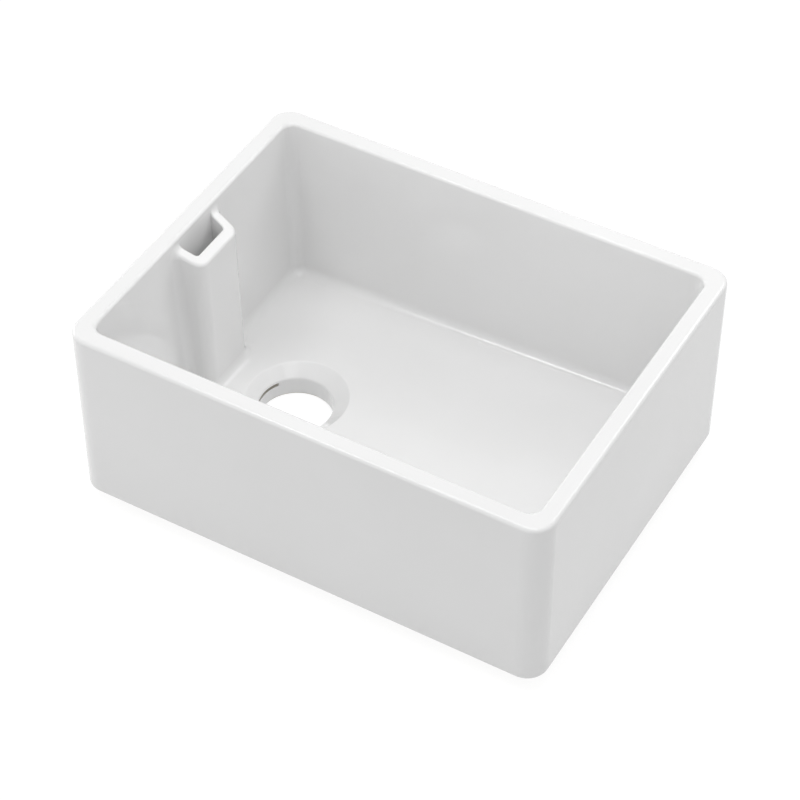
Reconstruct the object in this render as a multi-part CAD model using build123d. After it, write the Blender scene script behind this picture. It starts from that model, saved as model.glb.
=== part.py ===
from build123d import *
import os
from math import atan2, cos, radians, sin, sqrt, tan

# Belfast sink of white glazed fireclay, in millimetres.
# The origin is the middle of the base: +X runs along the length, away from the weir, +Y to the back, +Z up.

# Outside of the glazed ware
length = 595.0
depth = 455.0
height = 260.0
outer_corner_radius = 26.0
lower_edge_radius = 3.0

# Foot of bare clay, set back under the walls
foot_height = 20.0
foot_lip = 6.0
foot_setback = 18.0

# Rim, walls and floor
rim_width = 22.5
rim_outer_radius = 5.0
rim_inner_radius = 4.5
inner_corner_radius = 14.0
wall_draft = 2.8
floor_thickness = 39.5
floor_fall = 2.0
cove_radius = 12.0

# Dished waste hole
dish_to_weir = 15.7
waste_radius = 45.0
dish_radius = 62.0
dish_depth = 14.5
dish_edge_radius = 2.5
waste_lip_radius = 3.5

# Weir overflow pillar
weir_projection = 34.2
weir_front_width = 77.0
weir_side_angle = 10.0
weir_draft = 1.2
weir_front_wall = 13.5
weir_side_wall = 12.6
weir_below_rim = 13.5
weir_top_slope = 22.7
weir_corner_radius = 14.0
weir_edge_radius = 4.5
weir_cove_radius = 11.5
shaft_corner_radius = 5.0
shaft_back_step = 0.2
weir_mouth_radius = 2.0

# Waterway under the floor, from the weir's shaft to the waste throat, and the tile that closes it
waterway_width = 48.0
waterway_height = 5.0
waterway_roof = 2.0
tile_width = 80.0
tile_ledge = 6.0

# Glaze
glaze_thickness = 1.0
throat_bare_end = 2.0

# Places worked out from the sizes above
beyond = 10.0
wall_at_rim = -length / 2 + rim_width
weir_front = wall_at_rim + weir_projection + (height - floor_thickness) * tan(radians(weir_draft))
waste_x = weir_front + cove_radius + dish_to_weir + dish_radius
weir_line = Vector(-sin(radians(weir_draft)), 0, cos(radians(weir_draft)))
weir_splay = tan(radians(weir_side_angle))
end_wall = Plane(origin=(wall_at_rim, 0, height), z_dir=(cos(radians(wall_draft)), 0, sin(radians(wall_draft))))
fall_normal = (-sin(radians(floor_fall)), 0, cos(radians(floor_fall)))
dish_slope = atan2(dish_depth, dish_radius - waste_radius)
lip_height = floor_thickness - dish_depth
weir_top = Plane(
    origin=(wall_at_rim, 0, height - weir_below_rim),
    z_dir=(sin(radians(weir_top_slope)), 0, cos(radians(weir_top_slope))),
)
waterway_top = lip_height - waterway_roof
waterway_bottom = waterway_top - waterway_height


def outer_block(skin):
    """Outside of the ware above its foot, drawn in all round by the skin."""
    plan = RectangleRounded(length - 2 * skin, depth - 2 * skin, outer_corner_radius - skin)
    block = extrude(Pos(0, 0, foot_height + skin) * plan, height - foot_height - 2 * skin)
    block = fillet(block.edges().group_by(Axis.Z)[-1], rim_outer_radius - skin)
    return fillet(block.edges().group_by(Axis.Z)[0], lower_edge_radius - skin)


def foot(skin):
    """Bare clay base that narrows from the underside of the walls to the surface the sink stands on."""
    top = foot_height + skin
    sections = []
    for level, setback in ((0, foot_setback), (top, foot_lip)):
        plan = RectangleRounded(length - 2 * setback, depth - 2 * setback, outer_corner_radius - foot_lip)
        sections.append(Pos(0, 0, level) * plan)
    return loft(sections, ruled=True)


def plain_hollow(skin):
    """Inside of the bowl with drafted walls and a floor that falls to the waste, before the weir stands in it."""
    inset = rim_width - skin
    mouth = Pos(0, 0, height) * Rectangle(length - 2 * inset, depth - 2 * inset)
    hollow = extrude(mouth, -height, taper=wall_draft)
    hollow = fillet(hollow.edges().group_by(Axis.Z)[1], inner_corner_radius + skin)
    floor = Plane(origin=(waste_x, 0, floor_thickness - skin), z_dir=fall_normal)
    return split(hollow, bisect_by=floor, keep=Keep.TOP)


def weir_prism(front_inset, side_inset, radius):
    """Prism of the pillar's plan, with a front face and two sides that splay out into the end wall."""
    front = wall_at_rim + weir_projection - front_inset
    back = wall_at_rim - beyond
    half_front = weir_front_width / 2 + front_inset * weir_splay - side_inset / cos(radians(weir_side_angle))
    half_back = half_front + (front - back) * weir_splay
    plan = Polygon((front, -half_front), (front, half_front), (back, half_back), (back, -half_back), align=None)
    front_corners = plan.vertices().group_by(Axis.X)[-1]
    plan = Pos(0, 0, height) * fillet(front_corners, radius)
    return extrude(plan, height, dir=-weir_line)


def pillar(skin):
    """Outside of the weir, with a top that slopes down to the front and has rounded edges."""
    prism = weir_prism(skin, skin, weir_corner_radius - skin)
    prism = split(prism, bisect_by=weir_top.offset(-skin), keep=Keep.BOTTOM)
    return fillet(prism.faces().sort_by(Axis.Z)[-1].edges(), weir_edge_radius - skin)


def shaft(skin):
    """Space inside the weir, whose back stands a small step proud of the end wall above it."""
    prism = weir_prism(weir_front_wall - skin, weir_side_wall - skin, shaft_corner_radius + skin)
    prism = split(prism, bisect_by=end_wall.offset(shaft_back_step - skin), keep=Keep.TOP)
    return split(prism, bisect_by=Plane.XY.offset(waterway_bottom), keep=Keep.TOP)


def bowl_space(skin):
    """Free space of the bowl around the weir, with coves where walls, floor and weir meet."""
    space = plain_hollow(skin) - pillar(skin)
    seam_edges = space.faces().sort_by(Axis.X)[0].edges()
    weir_seam = seam_edges.filter_by(lambda edge: abs(edge.center().Y) < weir_front_width)
    seam_top = weir_top.origin.Z + weir_edge_radius
    weir_seam = weir_seam.filter_by(lambda edge: floor_thickness < edge.center().Z < seam_top)
    space = fillet(weir_seam, weir_cove_radius + skin)
    floor_face = space.faces().sort_by(Axis.Z)[0]
    return fillet(floor_face.edges(), cove_radius + skin)


def waste_hole(skin):
    """Space of the dish and the throat under it, turned about the waste axis."""
    throat = waste_radius + skin
    cone_shift = skin / sin(dish_slope)
    lip = floor_thickness + (throat - dish_radius - cone_shift) * tan(dish_slope)
    top = floor_thickness + beyond
    cone_top = dish_radius + cone_shift + beyond / tan(dish_slope)
    outline = Polygon((0, -beyond), (throat, -beyond), (throat, lip), (cone_top, top), (0, top), align=None)
    lip_corner = outline.vertices().sort_by_distance((throat, lip))[0]
    outline = fillet(lip_corner, waste_lip_radius - skin)
    return Pos(waste_x, 0, 0) * revolve(Plane.XZ * outline, Axis.Z)


def on_dish_edge(edge):
    """True for the round edge where the dish meets the floor."""
    middle = edge.center(CenterOf.BOUNDING_BOX)
    off_axis = abs(middle.X - waste_x) + abs(middle.Y)
    return off_axis < dish_radius / 2 and abs(middle.Z - floor_thickness) < dish_depth / 2


def on_weir_mouth(edge, skin):
    """True for the edges round the shaft's mouth in the sloping top of the weir."""
    middle = edge.center()
    front = wall_at_rim + weir_projection
    half_width = weir_front_width / 2 + (front - middle.X) * weir_splay
    inside_ring = middle.X < front - weir_front_wall / 2 and abs(middle.Y) < half_width - weir_side_wall / 2
    return inside_ring and abs(weir_top.offset(-skin).to_local_coords(middle).Z) < glaze_thickness / 2


def ware(skin):
    """Whole sink above its foot, as it is under a skin of the given thickness."""
    body = outer_block(skin) - bowl_space(skin)
    rim = body.faces().sort_by(Axis.Z)[-1]
    body = fillet(rim.inner_wires()[0].edges(), rim_inner_radius - skin)
    body -= waste_hole(skin)
    dish_edge = body.edges().filter_by(on_dish_edge)
    body = fillet(dish_edge, dish_edge_radius - skin)
    body -= shaft(skin)
    mouth = body.edges().filter_by(lambda edge: on_weir_mouth(edge, skin))
    return fillet(mouth, weir_mouth_radius - skin)


def upright_box(left, right, width, bottom, top):
    """Box between two places along the length, centred across the depth."""
    plan = Pos((left + right) / 2, 0, bottom) * Rectangle(right - left, width)
    return extrude(plan, top - bottom)


# Clay of the whole sink, with the throat and the shaft carried down through the foot
throat = Pos(waste_x, 0, 0) * extrude(Circle(waste_radius + glaze_thickness), lip_height)
clay = ware(glaze_thickness) + foot(glaze_thickness) - throat - shaft(glaze_thickness)

# Waterway and the recess below it that takes the tile
shaft_foot = wall_at_rim + (height - waterway_bottom) * tan(radians(wall_draft))
waterway = upright_box(shaft_foot, waste_x, waterway_width, waterway_bottom, waterway_top)
throat_reach = sqrt((waste_radius + glaze_thickness) ** 2 - (waterway_width / 2) ** 2)
recess = upright_box(shaft_foot - tile_ledge, waste_x - throat_reach, tile_width, 0, waterway_bottom)
waterway_tile = recess - throat
clay = clay - waterway - recess

# The weir stands on the floor and against the end wall, with the slip worked into the coves round it
weir_zone = plain_hollow(glaze_thickness) & upright_box(
    -length / 2,
    weir_front + 2 * cove_radius,
    weir_front_width + 4 * weir_cove_radius,
    0,
    height,
)
weir_casting = clay & weir_zone
bowl_casting = clay - weir_zone

# Glaze over the clay, down the throat and round the lower edge
throat_liner = throat - Pos(waste_x, 0, 0) * Cylinder(waste_radius, 2 * height)
throat_liner = split(throat_liner, bisect_by=Plane.XY.offset(throat_bare_end), keep=Keep.TOP)
throat_liner = split(throat_liner, bisect_by=Plane.XY.offset(foot_height), keep=Keep.BOTTOM)
glaze_coat = ware(0) + throat_liner - clay - waterway

nodes = {
    "bowl_casting": bowl_casting,
    "weir_casting": weir_casting,
    "waterway_tile": waterway_tile,
    "glaze_coat": glaze_coat,
}

os.makedirs("parts", exist_ok=True)
for name, shape in nodes.items():
    shape.label = name
    export_step(shape, f"parts/{name}.step")
    print(name, round(shape.volume), shape.is_valid, len(shape.solids()), len(shape.faces()))
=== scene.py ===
import math

import bpy
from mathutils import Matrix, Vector

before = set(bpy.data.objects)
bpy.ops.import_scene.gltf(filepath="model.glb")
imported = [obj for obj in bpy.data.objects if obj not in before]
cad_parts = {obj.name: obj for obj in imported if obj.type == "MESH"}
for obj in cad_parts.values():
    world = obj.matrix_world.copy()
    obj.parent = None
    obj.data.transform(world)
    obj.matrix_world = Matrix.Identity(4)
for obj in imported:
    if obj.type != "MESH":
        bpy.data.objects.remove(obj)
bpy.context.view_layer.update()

bpy.ops.object.select_all(action="DESELECT")


# Bowl casting: the four walls, the floor and the foot, slip-cast in off-white fireclay with gritty grog in it.
# Glaze hides it but for the foot and the waterway under the floor. The foot is wiped bare before firing, so that
# the sink doesn't stick to the kiln shelf.
def fireclay(name, pale, deep, grog, wipe_turn):
    """Bare fired clay: matt, mottled, with dark and pale grains of grog and the drag of the wiping sponge."""
    clay = bpy.data.materials.new(name)
    clay.use_nodes = True
    nodes, links = clay.node_tree.nodes, clay.node_tree.links
    shader = nodes["Principled BSDF"]
    shader.inputs["Specular IOR Level"].default_value = 0.25
    place = nodes.new("ShaderNodeTexCoord")

    mottle = nodes.new("ShaderNodeTexNoise")
    mottle.inputs["Scale"].default_value = 17.0
    mottle.inputs["Detail"].default_value = 7.0
    mottle.inputs["Roughness"].default_value = 0.62
    links.new(place.outputs["Object"], mottle.inputs["Vector"])
    body_tone = nodes.new("ShaderNodeValToRGB")
    body_tone.color_ramp.elements[0].position = 0.36
    body_tone.color_ramp.elements[0].color = (*deep, 1.0)
    body_tone.color_ramp.elements[1].position = 0.66
    body_tone.color_ramp.elements[1].color = (*pale, 1.0)
    links.new(mottle.outputs["Fac"], body_tone.inputs["Fac"])

    grains = nodes.new("ShaderNodeTexVoronoi")
    grains.inputs["Scale"].default_value = 420.0
    links.new(place.outputs["Object"], grains.inputs["Vector"])
    grain_edge = nodes.new("ShaderNodeMapRange")
    grain_edge.inputs["From Min"].default_value = 0.22
    grain_edge.inputs["From Max"].default_value = 0.34
    grain_edge.inputs["To Min"].default_value = 0.55
    grain_edge.inputs["To Max"].default_value = 0.0
    links.new(grains.outputs["Distance"], grain_edge.inputs["Value"])
    grain_colour = nodes.new("ShaderNodeSeparateColor")
    links.new(grains.outputs["Color"], grain_colour.inputs["Color"])
    few = nodes.new("ShaderNodeMath")
    few.operation = "GREATER_THAN"
    few.inputs[1].default_value = 0.72
    links.new(grain_colour.outputs["Red"], few.inputs[0])
    grain_mask = nodes.new("ShaderNodeMath")
    grain_mask.operation = "MULTIPLY"
    links.new(grain_edge.outputs["Result"], grain_mask.inputs[0])
    links.new(few.outputs["Value"], grain_mask.inputs[1])
    gritty = nodes.new("ShaderNodeMix")
    gritty.data_type = "RGBA"
    gritty.inputs["B"].default_value = (*grog, 1.0)
    links.new(grain_mask.outputs["Value"], gritty.inputs["Factor"])
    links.new(body_tone.outputs["Color"], gritty.inputs["A"])
    links.new(gritty.outputs["Result"], shader.inputs["Base Color"])

    drag_place = nodes.new("ShaderNodeMapping")
    drag_place.inputs["Rotation"].default_value = (0.0, 0.0, math.radians(wipe_turn))
    drag_place.inputs["Scale"].default_value = (14.0, 260.0, 60.0)
    links.new(place.outputs["Object"], drag_place.inputs["Vector"])
    drag = nodes.new("ShaderNodeTexNoise")
    drag.inputs["Scale"].default_value = 1.0
    drag.inputs["Detail"].default_value = 5.0
    links.new(drag_place.outputs["Vector"], drag.inputs["Vector"])
    dryness = nodes.new("ShaderNodeMapRange")
    dryness.inputs["To Min"].default_value = 0.78
    dryness.inputs["To Max"].default_value = 0.97
    links.new(drag.outputs["Fac"], dryness.inputs["Value"])
    links.new(dryness.outputs["Result"], shader.inputs["Roughness"])

    grit = nodes.new("ShaderNodeTexNoise")
    grit.inputs["Scale"].default_value = 760.0
    grit.inputs["Detail"].default_value = 3.0
    links.new(place.outputs["Object"], grit.inputs["Vector"])
    drag_relief = nodes.new("ShaderNodeBump")
    drag_relief.inputs["Strength"].default_value = 0.5
    drag_relief.inputs["Distance"].default_value = 0.0006
    links.new(drag.outputs["Fac"], drag_relief.inputs["Height"])
    grit_relief = nodes.new("ShaderNodeBump")
    grit_relief.inputs["Strength"].default_value = 0.55
    grit_relief.inputs["Distance"].default_value = 0.0004
    links.new(grit.outputs["Fac"], grit_relief.inputs["Height"])
    links.new(drag_relief.outputs["Normal"], grit_relief.inputs["Normal"])
    links.new(grit_relief.outputs["Normal"], shader.inputs["Normal"])
    return clay


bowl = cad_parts["bowl_casting"]
bowl.data.materials.clear()
bowl.data.materials.append(
    fireclay("bowl fireclay", (0.74, 0.71, 0.66), (0.62, 0.585, 0.53), (0.36, 0.31, 0.26), 0.0)
)


# Weir casting: the hollow overflow pillar, cast in the same clay in a mould of its own.
# It is stuck to the end wall and the floor with slip while both are leather hard, and glazed with the bowl.
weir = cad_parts["weir_casting"]
weir.data.materials.clear()
weir.data.materials.append(
    fireclay("weir fireclay", (0.73, 0.70, 0.65), (0.63, 0.595, 0.54), (0.37, 0.32, 0.27), 90.0)
)


# Waterway tile: a slab of the same clay, cut to length and pressed into the recess under the floor.
# It closes the overflow's way to the waste throat and is trimmed flush with the foot, so its face shows from below.
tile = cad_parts["waterway_tile"]
tile.data.materials.clear()
tile.data.materials.append(
    fireclay("tile fireclay", (0.70, 0.66, 0.60), (0.58, 0.54, 0.48), (0.33, 0.28, 0.23), 35.0)
)


# Glaze coat: a millimetre of opaque white glaze, sprayed on and fired to a hard gloss.
# It covers the sink inside and out, down the waste throat and round the lower edge, and lies in slow waves.
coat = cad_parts["glaze_coat"]
white_glaze = bpy.data.materials.new("white glaze")
white_glaze.use_nodes = True
nodes, links = white_glaze.node_tree.nodes, white_glaze.node_tree.links
shader = nodes["Principled BSDF"]
shader.inputs["IOR"].default_value = 1.5
place = nodes.new("ShaderNodeTexCoord")

drift = nodes.new("ShaderNodeTexNoise")
drift.inputs["Scale"].default_value = 6.0
drift.inputs["Detail"].default_value = 3.0
links.new(place.outputs["Object"], drift.inputs["Vector"])
glaze_tone = nodes.new("ShaderNodeValToRGB")
glaze_tone.color_ramp.elements[0].position = 0.3
glaze_tone.color_ramp.elements[0].color = (0.81, 0.81, 0.808, 1.0)
glaze_tone.color_ramp.elements[1].position = 0.7
glaze_tone.color_ramp.elements[1].color = (0.83, 0.83, 0.83, 1.0)
links.new(drift.outputs["Fac"], glaze_tone.inputs["Fac"])

specks = nodes.new("ShaderNodeTexVoronoi")
specks.inputs["Scale"].default_value = 55.0
links.new(place.outputs["Object"], specks.inputs["Vector"])
speck_edge = nodes.new("ShaderNodeMapRange")
speck_edge.inputs["From Min"].default_value = 0.012
speck_edge.inputs["From Max"].default_value = 0.024
speck_edge.inputs["To Min"].default_value = 0.4
speck_edge.inputs["To Max"].default_value = 0.0
links.new(specks.outputs["Distance"], speck_edge.inputs["Value"])
speck_colour = nodes.new("ShaderNodeSeparateColor")
links.new(specks.outputs["Color"], speck_colour.inputs["Color"])
sparse = nodes.new("ShaderNodeMath")
sparse.operation = "GREATER_THAN"
sparse.inputs[1].default_value = 0.9
links.new(speck_colour.outputs["Red"], sparse.inputs[0])
speck_mask = nodes.new("ShaderNodeMath")
speck_mask.operation = "MULTIPLY"
links.new(speck_edge.outputs["Result"], speck_mask.inputs[0])
links.new(sparse.outputs["Value"], speck_mask.inputs[1])
specked = nodes.new("ShaderNodeMix")
specked.data_type = "RGBA"
specked.inputs["B"].default_value = (0.46, 0.42, 0.37, 1.0)
links.new(speck_mask.outputs["Value"], specked.inputs["Factor"])
links.new(glaze_tone.outputs["Color"], specked.inputs["A"])
links.new(specked.outputs["Result"], shader.inputs["Base Color"])

breath = nodes.new("ShaderNodeTexNoise")
breath.inputs["Scale"].default_value = 38.0
breath.inputs["Detail"].default_value = 4.0
links.new(place.outputs["Object"], breath.inputs["Vector"])
gloss = nodes.new("ShaderNodeMapRange")
gloss.inputs["From Min"].default_value = 0.3
gloss.inputs["From Max"].default_value = 0.7
gloss.inputs["To Min"].default_value = 0.02
gloss.inputs["To Max"].default_value = 0.045
links.new(breath.outputs["Fac"], gloss.inputs["Value"])
links.new(gloss.outputs["Result"], shader.inputs["Roughness"])

swell = nodes.new("ShaderNodeTexNoise")
swell.inputs["Scale"].default_value = 11.0
swell.inputs["Detail"].default_value = 1.0
links.new(place.outputs["Object"], swell.inputs["Vector"])
swell_relief = nodes.new("ShaderNodeBump")
swell_relief.inputs["Strength"].default_value = 0.25
swell_relief.inputs["Distance"].default_value = 0.0008
links.new(swell.outputs["Fac"], swell_relief.inputs["Height"])
peel = nodes.new("ShaderNodeTexNoise")
peel.inputs["Scale"].default_value = 170.0
peel.inputs["Detail"].default_value = 1.0
links.new(place.outputs["Object"], peel.inputs["Vector"])
peel_relief = nodes.new("ShaderNodeBump")
peel_relief.inputs["Strength"].default_value = 0.08
peel_relief.inputs["Distance"].default_value = 0.0002
links.new(peel.outputs["Fac"], peel_relief.inputs["Height"])
links.new(swell_relief.outputs["Normal"], peel_relief.inputs["Normal"])
links.new(peel_relief.outputs["Normal"], shader.inputs["Normal"])
coat.data.materials.clear()
coat.data.materials.append(white_glaze)


# Studio floor: a wide sheet of white paper under the sink.
# It looks plain white, takes the sink's faint shadow and throws soft light back on the outside walls.
def seen_or_mirrored(nodes, links):
    """Socket that is 1 for what is seen straight, in a mirror image or through glass, and 0 for plain lighting."""
    ray = nodes.new("ShaderNodeLightPath")
    straight_or_mirror = nodes.new("ShaderNodeMath")
    straight_or_mirror.operation = "MAXIMUM"
    links.new(ray.outputs["Is Camera Ray"], straight_or_mirror.inputs[0])
    links.new(ray.outputs["Is Glossy Ray"], straight_or_mirror.inputs[1])
    any_view = nodes.new("ShaderNodeMath")
    any_view.operation = "MAXIMUM"
    links.new(straight_or_mirror.outputs["Value"], any_view.inputs[0])
    links.new(ray.outputs["Is Transmission Ray"], any_view.inputs[1])
    return any_view.outputs["Value"]


paper_width = 24.0
paper_below_foot = 0.0005
bpy.ops.mesh.primitive_plane_add(size=paper_width, location=(0.0, 0.0, -paper_below_foot))
floor = bpy.context.object
floor.name = "studio_floor"
bpy.ops.object.transform_apply(location=True)
paper = bpy.data.materials.new("white paper")
paper.use_nodes = True
nodes, links = paper.node_tree.nodes, paper.node_tree.links
nodes.remove(nodes["Principled BSDF"])
paper_bounce = nodes.new("ShaderNodeBsdfDiffuse")
paper_bounce.inputs["Color"].default_value = (0.75, 0.75, 0.75, 1.0)
paper_seen = nodes.new("ShaderNodeBsdfDiffuse")
paper_seen.inputs["Color"].default_value = (0.15, 0.15, 0.15, 1.0)
paper_white = nodes.new("ShaderNodeEmission")
paper_white.inputs["Strength"].default_value = 0.9
seen_white = nodes.new("ShaderNodeAddShader")
links.new(paper_seen.outputs["BSDF"], seen_white.inputs[0])
links.new(paper_white.outputs["Emission"], seen_white.inputs[1])
paper_mix = nodes.new("ShaderNodeMixShader")
links.new(seen_or_mirrored(nodes, links), paper_mix.inputs["Fac"])
links.new(paper_bounce.outputs["BSDF"], paper_mix.inputs[1])
links.new(seen_white.outputs["Shader"], paper_mix.inputs[2])
links.new(paper_mix.outputs["Shader"], nodes["Material Output"].inputs["Surface"])
floor.data.materials.append(paper)


# Studio light: a square softbox overhead, four high round the sink, a small one near the back rim, and two long low
# ones at the front and left. Pale studio walls add a soft glow, and look white to the camera and in the glaze.
def softbox(name, place, aim, width, height, power):
    """A large soft rectangular lamp at a place, turned to face a point."""
    bpy.ops.object.light_add(type="AREA", location=place)
    lamp = bpy.context.object
    lamp.name = name
    lamp.data.shape = "RECTANGLE"
    lamp.data.size = width
    lamp.data.size_y = height
    lamp.data.energy = power
    lamp.rotation_euler = (Vector(aim) - Vector(place)).to_track_quat("-Z", "Y").to_euler()


sink_middle = (0.0, 0.0, 0.13)
softbox("overhead softbox", (0.0, 0.0, 2.53), sink_middle, 1.3, 1.3, 14.2)
softbox("key softbox", (-0.907, -0.846, 2.415), sink_middle, 0.7, 0.55, 7.6)
softbox("camera softbox", (1.069, -1.274, 2.506), sink_middle, 1.2, 1.0, 4.5)
softbox("back softbox", (0.517, 1.590, 2.122), sink_middle, 1.2, 1.0, 6.4)
softbox("right softbox", (2.103, 0.0, 1.658), sink_middle, 1.4, 1.4, 2.3)
softbox("rim softbox", (0.5, 0.8, 0.95), sink_middle, 0.5, 0.5, 1.3)
softbox("front softbox", (-0.945, -2.339, 0.759), sink_middle, 2.4, 1.1, 5.4)
softbox("left softbox", (-2.523, 0.0, 0.759), sink_middle, 1.8, 1.1, 15.3)

studio = bpy.data.worlds.new("pale studio")
bpy.context.scene.world = studio
studio.use_nodes = True
nodes, links = studio.node_tree.nodes, studio.node_tree.links
walls_glow = nodes["Background"]
walls_glow.inputs["Color"].default_value = (1.0, 1.0, 1.0, 1.0)
walls_glow.inputs["Strength"].default_value = 0.528
walls_seen = nodes.new("ShaderNodeBackground")
walls_seen.inputs["Color"].default_value = (1.0, 1.0, 1.0, 1.0)
walls_seen.inputs["Strength"].default_value = 1.0
walls_mix = nodes.new("ShaderNodeMixShader")
links.new(seen_or_mirrored(nodes, links), walls_mix.inputs["Fac"])
links.new(walls_glow.outputs["Background"], walls_mix.inputs[1])
links.new(walls_seen.outputs["Background"], walls_mix.inputs[2])
links.new(walls_mix.outputs["Shader"], nodes["World Output"].inputs["Surface"])
bpy.context.scene.view_settings.view_transform = "Standard"


# Camera: a long lens about three metres off, from the front right and well above the rim.
# It looks down into the bowl at about 45 degrees and takes in the whole sink.
camera_target = Vector((0.012925, -0.028497, 0.140))
camera_azimuth = math.radians(30.025)
camera_height = math.radians(45.412)
camera_distance = 2.96255
view_line = Vector(
    (
        math.sin(camera_azimuth) * math.cos(camera_height),
        -math.cos(camera_azimuth) * math.cos(camera_height),
        math.sin(camera_height),
    )
)
bpy.ops.object.camera_add(location=camera_target + view_line * camera_distance)
camera = bpy.context.object
camera.rotation_euler = (-view_line).to_track_quat("-Z", "Y").to_euler()
camera.data.sensor_width = 36.0
camera.data.lens = 118.25
camera.data.clip_end = 50.0
bpy.context.scene.camera = camera


bpy.context.view_layer.update()
